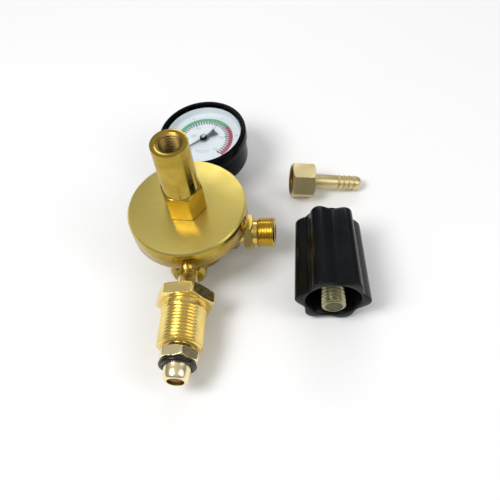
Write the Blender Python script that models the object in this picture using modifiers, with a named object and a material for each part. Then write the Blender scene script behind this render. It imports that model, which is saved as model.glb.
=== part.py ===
"""Gas regulator with a contents gauge, its adjusting knob and its outlet nut and hose nipple lying beside it.

The origin is on the bench, on the axis of the spring tube. +Z is up along the spring tube, the inlet points
along -Y, the outlet along +X and the gauge stem along +Y. Lengths below are in millimetres and are turned
into metres by MM. A turned piece is drawn as (radius, height) points that run down its outer side.
"""

import math

import bmesh
import bpy
from mathutils import Matrix

MM = 0.001
GAP = 0.3  # clearance between two pieces that touch

# Driving dimensions
DISC_TOP = 42.0
DISC_RADIUS = 30.9
DISC_THICKNESS = 12.5
PORT_HEIGHT = 17.4
TUBE_RADIUS = 9.1
TUBE_HEX_FLATS = 19.0
TUBE_HEX_TOP = DISC_TOP + 16.2
TUBE_TOP = DISC_TOP + 46.8
FLANGE_RADIUS = 26.6
BODY_RADIUS = 17.5
BODY_BOTTOM = 6.2
INLET_NUT_FLATS = 27.0
INLET_THREAD_RADIUS = 11.455  # 5/8 inch pipe thread
OUTLET_THREAD_RADIUS = 8.33  # 3/8 inch pipe thread
STUD_RADIUS = 6.0
GAUGE_REACH = 58.4
GAUGE_RADIUS = 25.1
GAUGE_TILT = -1.8
GAUGE_YAW = -2.0
KNOB_RADIUS = 19.4  # at the open end
KNOB_FAR_RADIUS = 17.2
KNOB_LENGTH = 48.0
KNOB_PLACE = (73.5, -18.8)
KNOB_YAW = 3.1
KNOB_TURN = -10.0  # how far the knob has rolled about its own axis
KNOB_GROOVE = 3.7
KNOB_LOBES = 6
KNOB_POINTS = 48  # around one section
KNOB_RECESS = 24.0
KNOB_MOUTH_RADIUS = 14.2
STUD_STANDOUT = 3.4
NUT_FLATS = 18.0
NUT_LENGTH = 13.2
NIPPLE_END = 40.2
NUT_PLACE = (51.7, 41.1)
NUT_YAW = 4.4
NUT_PITCH = 10.7  # the loose nipple lies nose down, resting on its barbs
POINTER_REST = -142.0  # degrees about the dial's axis, at zero pressure

# Heights of the working parts inside
CHAMBER_FLOOR = 29.5
FLANGE_TOP = 33.0
DIAPHRAGM_THICKNESS = 1.2
RING_THICKNESS = 0.9
DIAPHRAGM_BOTTOM = FLANGE_TOP + GAP
DIAPHRAGM_TOP = DIAPHRAGM_BOTTOM + DIAPHRAGM_THICKNESS
RING_BOTTOM = DIAPHRAGM_TOP + GAP
RING_TOP = RING_BOTTOM + RING_THICKNESS
PLATE_BOTTOM = DIAPHRAGM_TOP + GAP
PLATE_TOP = PLATE_BOTTOM + 1.5
SPRING_BOTTOM = PLATE_TOP + GAP
SPRING_TOP = 64.0
THREAD_BOTTOM = 71.0
SEAT_BOTTOM = 19.7
CHAMBER_TOP = 22.5
VALVE_CHAMBER_RADIUS = 5.6

WIDEST, LARGE, MEDIUM, SMALL = 48, 32, 24, 12  # sides of round pieces

BRASS = ("brass", (0.72, 0.56, 0.22), 0.28, 1.0)
STEEL = ("steel", (0.62, 0.62, 0.60), 0.3, 1.0)
BLACK = ("black_plastic", (0.012, 0.013, 0.015), 0.25, 0.0)
RUBBER = ("rubber", (0.015, 0.015, 0.015), 0.6, 0.0)
WHITE = ("white_enamel", (0.85, 0.88, 0.9), 0.45, 0.0)
CLEAR = ("window", (0.9, 0.95, 0.97), 0.05, 0.0)
BRONZE = ("sintered_bronze", (0.42, 0.24, 0.1), 0.7, 1.0)
NYLON = ("nylon", (0.8, 0.78, 0.7), 0.5, 0.0)
FIBRE = ("fibre", (0.45, 0.12, 0.07), 0.8, 0.0)

for leftover in list(bpy.data.objects):
    bpy.data.objects.remove(leftover)

PARTS = bpy.data.collections.new("gas_regulator")
CUTTERS = bpy.data.collections.new("cutters")
CUTTERS.hide_render = True
bpy.context.scene.collection.children.link(PARTS)
bpy.context.scene.collection.children.link(CUTTERS)


def material_of(spec):
    """One Principled material per kind, made when it is first used."""
    name, colour, roughness, metallic = spec
    if name in bpy.data.materials:
        return bpy.data.materials[name]
    material = bpy.data.materials.new(name)
    material.use_nodes = True
    shader = material.node_tree.nodes["Principled BSDF"]
    shader.inputs["Base Color"].default_value = (*colour, 1.0)
    shader.inputs["Roughness"].default_value = roughness
    shader.inputs["Metallic"].default_value = metallic
    return material


def empty(name, place, turn=(0, 0, 0), parent=None):
    """A parent frame: place in millimetres and turn in degrees."""
    frame = bpy.data.objects.new(name, None)
    PARTS.objects.link(frame)
    frame.location = [value * MM for value in place]
    frame.rotation_euler = [math.radians(value) for value in turn]
    frame.parent = parent
    return frame


def link(obj, spec, parent=None, place=(0, 0, 0), turn=(0, 0, 0)):
    """Put a finished shape in the parts, or in the cutters when it has no material."""
    if spec is None:
        CUTTERS.objects.link(obj)
        obj.hide_render = True
        obj.display_type = "WIRE"
    else:
        PARTS.objects.link(obj)
        obj.data.materials.append(material_of(spec))
    obj.parent = parent
    obj.location = [value * MM for value in place]
    obj.rotation_euler = [math.radians(value) for value in turn]
    return obj


def turned(name, spec, profile, steps=MEDIUM, ring=False, **where):
    """A profile of (radius, height) turned about Z. A ring's profile closes on itself, off the axis."""
    mesh = bpy.data.meshes.new(name)
    points = [(radius * MM, 0.0, height * MM) for radius, height in profile]
    edges = [(i, i + 1) for i in range(len(points) - 1)]
    if ring:
        edges.append((len(points) - 1, 0))
    mesh.from_pydata(points, edges, [])
    obj = bpy.data.objects.new(name, mesh)
    screw = obj.modifiers.new("turn", "SCREW")
    screw.axis = "Z"
    screw.steps = steps
    screw.render_steps = steps
    screw.use_merge_vertices = True
    screw.merge_threshold = 0.00001
    screw.use_smooth_shade = steps > 6
    return link(obj, spec, **where)


def rod(name, spec, radius, bottom, top, steps=MEDIUM, **where):
    return turned(name, spec, [(0, top), (radius, top), (radius, bottom), (0, bottom)], steps, **where)


def tube(name, spec, outer, inner, bottom, top, steps=MEDIUM, **where):
    profile = [(inner, top), (outer, top), (outer, bottom), (inner, bottom)]
    return turned(name, spec, profile, steps, ring=True, **where)


def box(name, spec, size, **where):
    """A block centred on its place."""
    mesh = bpy.data.meshes.new(name)
    shape = bmesh.new()
    bmesh.ops.create_cube(shape, size=1.0)
    bmesh.ops.scale(shape, vec=[side * MM for side in size], verts=shape.verts)
    shape.to_mesh(mesh)
    shape.free()
    return link(bpy.data.objects.new(name, mesh), spec, **where)


def boolean(obj, operation, other):
    """Join or cut with another shape; the other one stays among the cutters."""
    step = obj.modifiers.new(f"{operation.lower()} {other.name}", "BOOLEAN")
    step.operation = operation
    step.object = other
    step.solver = "EXACT"
    return obj


def cut(obj, other):
    return boolean(obj, "DIFFERENCE", other)


def join(obj, other):
    return boolean(obj, "UNION", other)


def cut_hexagon(obj, flats, bottom, top, turn=0.0, widest=None):
    """Mill six flats on a turned piece between two heights of its own axis."""
    corner = flats / math.sqrt(3)
    outer = widest or corner * 1.5
    shaver = tube(obj.name + "_flats", None, outer, corner, bottom, top, steps=6)
    shaver.parent = obj.parent
    shaver.location = obj.location
    shaver.rotation_euler = obj.rotation_euler
    shaver.rotation_euler.rotate_axis("Z", math.radians(turn))
    return cut(obj, shaver)


def bent_wire(name, spec, points, radius, parent=None, flatten=1.0, resolution=2):
    """A wire or tube along points in millimetres, made a mesh with welded ends."""
    data = bpy.data.curves.new(name, "CURVE")
    data.dimensions = "3D"
    data.bevel_depth = radius * MM
    data.bevel_resolution = resolution
    data.use_fill_caps = True
    spline = data.splines.new("POLY")
    spline.points.add(len(points) - 1)
    for target, point in zip(spline.points, points):
        target.co = (point[0] * MM, point[1] * MM, point[2] * MM / flatten, 1.0)
    curve = bpy.data.objects.new(name + "_path", data)
    bpy.context.scene.collection.objects.link(curve)
    bpy.context.view_layer.update()
    graph = bpy.context.evaluated_depsgraph_get()
    mesh = bpy.data.meshes.new_from_object(curve.evaluated_get(graph))
    bpy.data.objects.remove(curve)
    shape = bmesh.new()
    shape.from_mesh(mesh)
    bmesh.ops.remove_doubles(shape, verts=shape.verts, dist=1e-6)
    bmesh.ops.scale(shape, vec=(1, 1, flatten), verts=shape.verts)
    bmesh.ops.recalc_face_normals(shape, faces=shape.faces)
    shape.to_mesh(mesh)
    shape.free()
    mesh.materials.clear()
    mesh.shade_smooth()
    return link(bpy.data.objects.new(name, mesh), spec, parent=parent)


def coil_points(radius, bottom, top, coils, closed=1.0, per_turn=10):
    """A compression spring's centre line: one closed coil at each end and open coils between."""
    count = int(coils * per_turn)
    rise = top - bottom - 2 * closed
    points = []
    for i in range(count + 1):
        turns = i / per_turn
        if turns < 1:
            height = turns * closed
        elif turns > coils - 1:
            height = top - bottom - (coils - turns) * closed
        else:
            height = closed + rise * (turns - 1) / (coils - 2)
        angle = 2 * math.pi * turns
        points.append((radius * math.cos(angle), radius * math.sin(angle), bottom + height))
    return points


def flat_outline(name, spec, outline, bottom, top, holes=(), **where):
    """A plate with a drawn outline and round holes (x, y, radius), from one height to another."""
    data = bpy.data.curves.new(name, "CURVE")
    data.dimensions = "2D"
    data.fill_mode = "BOTH"
    data.extrude = (top - bottom) / 2 * MM
    rims = [[(x + r * math.cos(a), y + r * math.sin(a)) for a in circle_angles(12)] for x, y, r in holes]
    for ring in [outline] + rims:
        spline = data.splines.new("POLY")
        spline.points.add(len(ring) - 1)
        for target, point in zip(spline.points, ring):
            target.co = (point[0] * MM, point[1] * MM, 0.0, 1.0)
        spline.use_cyclic_u = True
    curve = bpy.data.objects.new(name + "_outline", data)
    bpy.context.scene.collection.objects.link(curve)
    bpy.context.view_layer.update()
    graph = bpy.context.evaluated_depsgraph_get()
    mesh = bpy.data.meshes.new_from_object(curve.evaluated_get(graph))
    bpy.data.objects.remove(curve)
    mesh.transform(Matrix.Translation((0, 0, (top + bottom) / 2 * MM)))
    shape = bmesh.new()
    shape.from_mesh(mesh)
    bmesh.ops.remove_doubles(shape, verts=shape.verts, dist=1e-6)
    bmesh.ops.recalc_face_normals(shape, faces=shape.faces)
    shape.to_mesh(mesh)
    shape.free()
    mesh.materials.clear()
    return link(bpy.data.objects.new(name, mesh), spec, **where)


def lofted(name, spec, sections, parent):
    """A solid through outlines of one point count, each with its height, closed by flat ends."""
    shape = bmesh.new()
    rings = []
    for outline, height in sections:
        rings.append([shape.verts.new((x * MM, y * MM, height * MM)) for x, y in outline])
    count = len(rings[0])
    for lower, upper in zip(rings, rings[1:]):
        for i in range(count):
            after = (i + 1) % count
            shape.faces.new((lower[i], lower[after], upper[after], upper[i]))
    shape.faces.new(reversed(rings[0]))
    shape.faces.new(rings[-1])
    mesh = bpy.data.meshes.new(name)
    shape.to_mesh(mesh)
    shape.free()
    return link(bpy.data.objects.new(name, mesh), spec, parent=parent)


def circle_angles(count):
    return [2 * math.pi * i / count for i in range(count)]


def arc(radius, start, end, count, centre=(0, 0)):
    """Points on an arc, angles in degrees."""
    angles = [math.radians(start + (end - start) * i / count) for i in range(count + 1)]
    return [(centre[0] + radius * math.cos(a), centre[1] + radius * math.sin(a)) for a in angles]


def lobed_outline(radius, depth, lobes, points, turn=0.0):
    """A smooth lobed section, with its first lobe turned from +X."""
    outline = []
    for angle in circle_angles(points):
        reach = radius - depth * (1 - math.cos(lobes * (angle - math.radians(turn)))) / 2
        outline.append((reach * math.cos(angle), reach * math.sin(angle)))
    return outline


# Frames on the ports' axes: local +Z runs out along each port
INLET = empty("inlet_axis", (0, 0, PORT_HEIGHT), (90, 0, 0))
OUTLET = empty("outlet_axis", (0, 0, PORT_HEIGHT), (0, 90, 0))
# The gauge hangs on its stem, local +Y, and its dial looks along local +Z
GAUGE = empty("gauge_axis", (0, 0, PORT_HEIGHT), (0, GAUGE_TILT, GAUGE_YAW))
STEM = empty("gauge_stem_axis", (0, 0, 0), (-90, 0, 0), GAUGE)
DIAL = empty("dial_axis", (0, GAUGE_REACH, 0), (0, 0, 0), GAUGE)
# The knob lies on its side, mouth towards -Y, and the nut lies on one of its flats
KNOB_HEIGHT = max(y for x, y in lobed_outline(KNOB_RADIUS, KNOB_GROOVE, KNOB_LOBES, KNOB_POINTS, KNOB_TURN))
KNOB = empty("knob_axis", (*KNOB_PLACE, KNOB_HEIGHT), (90, 0, KNOB_YAW))
NUT_SLOPE = math.radians(NUT_PITCH)
NUT_HEIGHT = NUT_FLATS / 2 * math.cos(NUT_SLOPE) + NUT_LENGTH * math.sin(NUT_SLOPE)
NUT = empty("nut_axis", (*NUT_PLACE, NUT_HEIGHT), (0, 90 + NUT_PITCH, NUT_YAW))

BOSS_SIDES = 20
BOSS_START = 10.7  # distance from the body's axis where a boss grows out of it
INLET_BOSS_END = 27.6
OUTLET_BOSS_END = 25.0
GAUGE_BOSS_END = 23.6
INLET_STEM_RADIUS = 5.2
OUTLET_STEM_RADIUS = 6.1
GAUGE_THREAD_RADIUS = 6.58


def regulator_body():
    """The forged body: diaphragm chamber on top, valve chamber below, three ports at one height."""
    profile = [
        (20.0, FLANGE_TOP), (FLANGE_RADIUS, FLANGE_TOP), (FLANGE_RADIUS, 27.0), (18.6, 26.4),
        (BODY_RADIUS, 25.0), (BODY_RADIUS, BODY_BOTTOM + 1), (BODY_RADIUS - 1, BODY_BOTTOM),
        (VALVE_CHAMBER_RADIUS, BODY_BOTTOM), (VALVE_CHAMBER_RADIUS, CHAMBER_TOP), (1.4, CHAMBER_TOP),
        (1.4, CHAMBER_FLOOR), (20.0, CHAMBER_FLOOR),
    ]
    body = turned("regulator_body", BRASS, profile, LARGE, ring=True)
    bosses = (
        ("inlet_boss", INLET, 9.4, INLET_BOSS_END),
        ("outlet_boss", OUTLET, 9.0, OUTLET_BOSS_END),
        ("gauge_boss", STEM, 9.0, GAUGE_BOSS_END),
    )
    for name, frame, radius, end in bosses:
        shape = [(0, end), (radius - 1.6, end), (radius, end - 2.2), (radius, BOSS_START), (0, BOSS_START)]
        join(body, turned(name, None, shape, BOSS_SIDES, parent=frame))
    bores = (
        ("inlet_bore", INLET, INLET_STEM_RADIUS + GAP, 16.0, INLET_BOSS_END + 1, 2.5, 3.0),
        ("outlet_bore", OUTLET, OUTLET_STEM_RADIUS + GAP, 16.0, OUTLET_BOSS_END + 1, 2.5, 11.5),
        ("gauge_bore", STEM, GAUGE_THREAD_RADIUS + GAP, 13.0, GAUGE_BOSS_END + 1, 1.5, 3.0),
    )
    for name, frame, radius, start, end, drilling, drilled_to in bores:
        shape = [(0, end), (radius, end), (radius, start), (drilling, start), (drilling, drilled_to),
                 (0, drilled_to)]
        cut(body, turned(name, None, shape, SMALL, parent=frame))
    passage = rod("outlet_passage", None, 1.2, PORT_HEIGHT, CHAMBER_FLOOR + 1, SMALL, place=(13.0, 0, 0))
    return cut(body, passage)


def bonnet_cap():
    """The brass disc that screws down over the body's flange and clamps the diaphragm."""
    bottom = DISC_TOP - DISC_THICKNESS
    shelf = RING_TOP + GAP
    profile = [
        (8.4, DISC_TOP), (DISC_RADIUS - 0.6, DISC_TOP), (DISC_RADIUS, DISC_TOP - 0.6),
        (DISC_RADIUS, bottom + 0.4), (DISC_RADIUS - 0.4, bottom), (FLANGE_RADIUS + GAP, bottom), (FLANGE_RADIUS + GAP, shelf),
        (19.6, shelf), (19.6, DISC_TOP - 3.7), (8.4, DISC_TOP - 3.7),
    ]
    return turned("bonnet_cap", BRASS, profile, WIDEST, ring=True)


def spring_tube():
    """The tall tube with its hexagon: the spring inside, the adjusting thread at its mouth."""
    hex_bottom = DISC_TOP + GAP
    hex_corner = TUBE_HEX_FLATS / math.sqrt(3)
    profile = [
        (7.3, TUBE_TOP), (TUBE_RADIUS - 0.3, TUBE_TOP), (TUBE_RADIUS, TUBE_TOP - 0.4),
        (TUBE_RADIUS, TUBE_HEX_TOP), (TUBE_HEX_FLATS / 2, TUBE_HEX_TOP), (hex_corner, TUBE_HEX_TOP - 0.9), (hex_corner, hex_bottom),
        (8.1, hex_bottom), (8.1, DISC_TOP - 3.6), (6.9, DISC_TOP - 3.6), (6.9, THREAD_BOTTOM),
        (5.25, THREAD_BOTTOM + 1.6), (5.25, TUBE_TOP - 2.6),
    ]
    obj = turned("spring_tube", BRASS, profile, LARGE, ring=True)
    return cut_hexagon(obj, TUBE_HEX_FLATS, hex_bottom - 0.2, TUBE_HEX_TOP + 0.1, turn=-5, widest=14)


def diaphragm_parts():
    """The rubber diaphragm, its clamp ring, the spring plate above it and the button below."""
    tube("diaphragm", RUBBER, FLANGE_RADIUS - 0.3, 2.2, DIAPHRAGM_BOTTOM, DIAPHRAGM_TOP, LARGE)
    tube("clamp_ring", BRASS, FLANGE_RADIUS - 0.3, 20.2, RING_BOTTOM, RING_TOP, LARGE)
    pilot = PLATE_TOP + 1.2
    plate = [(0, pilot), (4.0, pilot), (4.0, PLATE_TOP), (15.0, PLATE_TOP), (15.0, PLATE_BOTTOM),
             (1.9, PLATE_BOTTOM), (1.9, DIAPHRAGM_BOTTOM - 1.5), (0, DIAPHRAGM_BOTTOM - 1.5)]
    turned("diaphragm_plate", BRASS, plate)
    top = DIAPHRAGM_BOTTOM - GAP
    button = [(0, top - 1.6), (2.2, top - 1.6), (2.2, top), (9.0, top), (9.0, top - 1.0), (3.6, top - 1.4),
              (3.0, top - 2.4), (0, top - 2.4)]
    turned("diaphragm_button", BRASS, button)


def adjusting_spring_parts():
    """The main spring between the diaphragm plate and the button that the knob's stud pushes down."""
    wire = 0.9
    coil = coil_points(5.4, SPRING_BOTTOM + wire, SPRING_TOP - wire, 8, 2 * wire + 0.2)
    bent_wire("adjusting_spring", STEEL, coil, wire, resolution=1)
    bottom = SPRING_TOP + GAP
    button = [(0, bottom + 3.2), (1.6, bottom + 4.4), (6.4, bottom + 4.4), (6.4, bottom), (3.9, bottom),
              (3.9, bottom - 2.6), (0, bottom - 2.6)]
    turned("spring_button", STEEL, button)


def valve_parts():
    """The seat, the spring-loaded valve below it and the pin that opens it."""
    seat = [(1.5, CHAMBER_TOP - GAP), (VALVE_CHAMBER_RADIUS - GAP, CHAMBER_TOP - GAP),
            (VALVE_CHAMBER_RADIUS - GAP, SEAT_BOTTOM + 0.8), (2.4, SEAT_BOTTOM), (1.5, SEAT_BOTTOM)]
    turned("valve_seat", BRASS, seat, SMALL, ring=True)
    pad_top = SEAT_BOTTOM - GAP
    rod("valve_pad", NYLON, 2.6, pad_top - 1.8, pad_top, SMALL)
    cup = pad_top - 1.8 - GAP
    holder = [(0, cup), (2.9, cup), (2.9, cup + 1.5), (3.6, cup + 1.5), (3.6, cup - 5.0), (1.5, cup - 5.0),
              (1.5, cup - 8.0), (0, cup - 8.0)]
    turned("valve_holder", BRASS, holder, SMALL)
    button_bottom = DIAPHRAGM_BOTTOM - GAP - 2.4
    rod("valve_pin", STEEL, 0.9, SEAT_BOTTOM, button_bottom - GAP, SMALL)
    wire = 0.35
    spring = coil_points(2.5, 4.4 + wire, cup - 5.0 - GAP - wire, 6, 2 * wire + 0.1)
    bent_wire("valve_spring", STEEL, spring, wire, resolution=1)


def rear_plug():
    """The hexagon plug under the body that holds the valve in, and its washer."""
    head = BODY_BOTTOM - 1.4
    radius = VALVE_CHAMBER_RADIUS - GAP
    corner = 17.0 / math.sqrt(3)
    profile = [(0, 4.1), (3.3, 4.1), (3.3, 9.6), (radius, 9.6), (radius, head), (corner, head), (corner, 0.8),
               (corner - 0.8, 0), (0, 0)]
    plug = turned("rear_plug", BRASS, profile)
    cut_hexagon(plug, 17.0, -0.2, head + 0.1)
    tube("plug_washer", FIBRE, 9.2, 6.0, head + GAP, BODY_BOTTOM - GAP)


def inlet_parts():
    """The bull-nose inlet: a nipple with a hexagon shoulder, seal ring, filter and the nut that drives it."""
    hex_start, hex_end, nose_end = 70.9, 76.4, 86.3
    corner = 18.0 / math.sqrt(3)
    profile = [
        (4.3, nose_end), (5.0, nose_end), (5.9, nose_end - 1.2), (6.7, nose_end - 4.0), (6.7, hex_end),
        (9.0, hex_end), (corner, hex_end - 1.0), (corner, hex_start + 1.0), (9.0, hex_start),
        (INLET_STEM_RADIUS, hex_start), (INLET_STEM_RADIUS, 16.3), (2.2, 16.3), (2.2, nose_end - 5.5),
        (4.3, nose_end - 5.5),
    ]
    nipple = turned("inlet_nipple", BRASS, profile, ring=True, parent=INLET)
    cut_hexagon(nipple, 18.0, hex_start - 0.2, hex_end + 0.2, turn=11)
    filter_end = nose_end - 1.2
    filter_start = nose_end - 5.2
    disc = [(0, filter_end), (3.6, filter_end), (4.0, filter_end - 0.4), (4.0, filter_start), (0, filter_start)]
    turned("inlet_filter", BRONZE, disc, SMALL, parent=INLET)
    ring_radius, ring_wire = 8.25, 1.2
    section = arc(ring_wire, 90, -270, 8, (ring_radius, hex_end + GAP + ring_wire))[:-1]
    turned("inlet_seal_ring", RUBBER, section, ring=True, parent=INLET)

    nut_start, head_end, nut_end = 38.3, 45.3, 69.2
    corner = INLET_NUT_FLATS / math.sqrt(3)
    profile = [
        (INLET_STEM_RADIUS + GAP, nut_end - 1.5), (8.0, nut_end), (INLET_THREAD_RADIUS - 1.1, nut_end),
        (INLET_THREAD_RADIUS, nut_end - 1.1), (INLET_THREAD_RADIUS, head_end + 1.6),
        (INLET_THREAD_RADIUS - 0.7, head_end + 1.2), (INLET_THREAD_RADIUS - 0.7, head_end),
        (corner - 0.4, head_end), (corner, head_end - 0.4), (corner, nut_start + 0.9),
        (corner - 1.6, nut_start), (INLET_STEM_RADIUS + GAP, nut_start),
    ]
    nut = turned("inlet_nut", BRASS, profile, LARGE, ring=True, parent=INLET)
    cut_hexagon(nut, INLET_NUT_FLATS, nut_start - 0.2, head_end + 0.1, turn=6)


def outlet_fitting():
    """The threaded outlet union, screwed into the body's +X boss."""
    hex_start, hex_end, end = 28.3, 32.6, 44.4
    corner = 17.2 / math.sqrt(3)
    profile = [
        (4.6, end), (OUTLET_THREAD_RADIUS - 1.0, end), (OUTLET_THREAD_RADIUS, end - 1.0),
        (OUTLET_THREAD_RADIUS, 35.6), (6.9, 34.8), (6.9, hex_end), (8.6, hex_end), (corner, hex_end - 0.8),
        (corner, hex_start + 0.8), (8.6, hex_start), (OUTLET_STEM_RADIUS, hex_start),
        (OUTLET_STEM_RADIUS, 16.3), (2.6, 16.3), (2.6, end - 4.0),
    ]
    fitting = turned("outlet_fitting", BRASS, profile, ring=True, parent=OUTLET)
    cut_hexagon(fitting, 17.2, hex_start - 0.2, hex_end + 0.2, turn=-35)


CASE_RADIUS = GAUGE_RADIUS - 1.3
CASE_BACK = -5.6
CASE_FRONT = 14.5
BEZEL_TOP = 17.4
BEZEL_BOTTOM = 10.6
WINDOW_BOTTOM, WINDOW_TOP = 15.0, 16.4
DIAL_BOTTOM, DIAL_TOP = 10.1, 10.7
POINTER_BOTTOM, POINTER_TOP = 12.0, 12.5
BOSS_BOTTOM, BOSS_TOP = 12.8, 14.1
LIP_RADIUS = 22.3  # the bezel's inner edge
CASE_HOLE_RADIUS = 4.0
PLATE_HEIGHTS = ((-3.0, -2.2), (4.8, 5.6))  # the movement's back and front plates
SECTOR_PIVOT = (-4.0, -6.93)
PINION_TEETH, SECTOR_TEETH = 12, 84
PINION_PITCH_RADIUS = 1.0
SECTOR_PITCH_RADIUS = PINION_PITCH_RADIUS * SECTOR_TEETH / PINION_TEETH
TAIL_LENGTH = 6.6
TAIL_REST = 160.7  # degrees, the sector's tail at zero pressure
DIAL_SCREWS = ((7.0, 4.0), (-7.0, 4.0))
BOURDON_RADIUS = 17.0


def gauge_housing():
    """The black case, bezel, clear window, white dial and the brass stem."""
    inner = CASE_RADIUS - 1.2
    profile = [
        (0, CASE_BACK + 1.4), (inner, CASE_BACK + 1.4), (inner, CASE_FRONT), (CASE_RADIUS, CASE_FRONT),
        (CASE_RADIUS, CASE_BACK + 3.2), (CASE_RADIUS - 1.0, CASE_BACK + 1.2), (CASE_RADIUS - 3.2, CASE_BACK),
        (0, CASE_BACK),
    ]
    case = turned("gauge_case", BLACK, profile, WIDEST, parent=DIAL)
    hole_start, hole_end = GAUGE_REACH - 30, GAUGE_REACH - 18
    cut(case, rod("stem_hole", None, CASE_HOLE_RADIUS, hole_start, hole_end, SMALL, parent=STEM))
    bezel = [
        (LIP_RADIUS, BEZEL_TOP), (GAUGE_RADIUS - 0.7, BEZEL_TOP), (GAUGE_RADIUS, BEZEL_TOP - 0.8),
        (GAUGE_RADIUS, BEZEL_BOTTOM), (CASE_RADIUS + GAP, BEZEL_BOTTOM),
        (CASE_RADIUS + GAP, WINDOW_TOP + GAP), (LIP_RADIUS, WINDOW_TOP + GAP),
    ]
    turned("gauge_bezel", BLACK, bezel, WIDEST, ring=True, parent=DIAL)
    rod("gauge_window", CLEAR, CASE_RADIUS - 0.3, WINDOW_BOTTOM, WINDOW_TOP, LARGE, parent=DIAL)
    profile = [
        (1.0, 37.0), (CASE_HOLE_RADIUS - GAP, 37.0), (CASE_HOLE_RADIUS - GAP, 34.2), (9.0, 34.2),
        (9.0, 24.2), (GAUGE_THREAD_RADIUS - 0.8, 24.2), (GAUGE_THREAD_RADIUS - 0.8, 23.6), (GAUGE_THREAD_RADIUS, 23.0), (GAUGE_THREAD_RADIUS, 14.3),
        (GAUGE_THREAD_RADIUS - 0.8, 13.4), (1.0, 13.4),
    ]
    stem = turned("gauge_stem", BRASS, profile, ring=True, parent=STEM)
    cut_hexagon(stem, 14.0, 24.1, 34.4, widest=12)
    join(stem, box("tube_block", None, (8.0, 6.8, 6.4), parent=GAUGE, place=(0, 39.8, 0)))
    holes = ((0, 0, 1.0), *((x, y, 0.9) for x, y in DIAL_SCREWS))
    disc = arc(21.5, 0, 360, LARGE)[:-1]
    dial = flat_outline("dial_plate", WHITE, disc, DIAL_BOTTOM, DIAL_TOP, holes, parent=DIAL)
    join(dial, tube("dial_rim", None, 22.2, 21.2, DIAL_BOTTOM, WINDOW_BOTTOM - GAP, LARGE, parent=DIAL))


def tooth_outline(pitch_radius, teeth, start, end, shift=0.0):
    """Teeth between two angles: four points to a tooth, on the root and tip circles."""
    module = 2 * pitch_radius / teeth
    step = 360.0 / teeth
    outline = []
    for i in range(round((end - start) / step)):
        middle = start + shift + (i + 0.5) * step
        for radius, offset in ((-1.25, -0.32), (0.8, -0.12), (0.8, 0.12), (-1.25, 0.32)):
            angle = math.radians(middle + offset * step)
            reach = pitch_radius + radius * module
            outline.append((reach * math.cos(angle), reach * math.sin(angle)))
    return outline


def polar(radius, degrees):
    return (radius * math.cos(math.radians(degrees)), radius * math.sin(math.radians(degrees)))


def capsule(start, end, radius):
    """The outline of a link: two round ends joined by straight sides."""
    heading = math.degrees(math.atan2(end[1] - start[1], end[0] - start[0]))
    far = arc(radius, heading - 90, heading + 90, 6, end)
    return far + arc(radius, heading + 90, heading + 270, 6, start)


def sector_outline():
    """A toothed rim, two arms back to the hub, and the tail that the link pulls."""
    tooth = 360.0 / SECTOR_TEETH
    facing = math.degrees(math.atan2(-SECTOR_PIVOT[1], -SECTOR_PIVOT[0]))
    start = facing - 11.5 * tooth
    rim = tooth_outline(SECTOR_PITCH_RADIUS, SECTOR_TEETH, start, start + 14 * tooth)
    tail_end = polar(TAIL_LENGTH, TAIL_REST)
    hub_left = arc(1.5, 100, TAIL_REST - 40, 2)
    tail = arc(0.9, TAIL_REST - 90, TAIL_REST + 90, 6, tail_end)
    hub_below = arc(1.5, TAIL_REST + 40, 350, 6)
    return rim + hub_left + tail + hub_below


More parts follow.
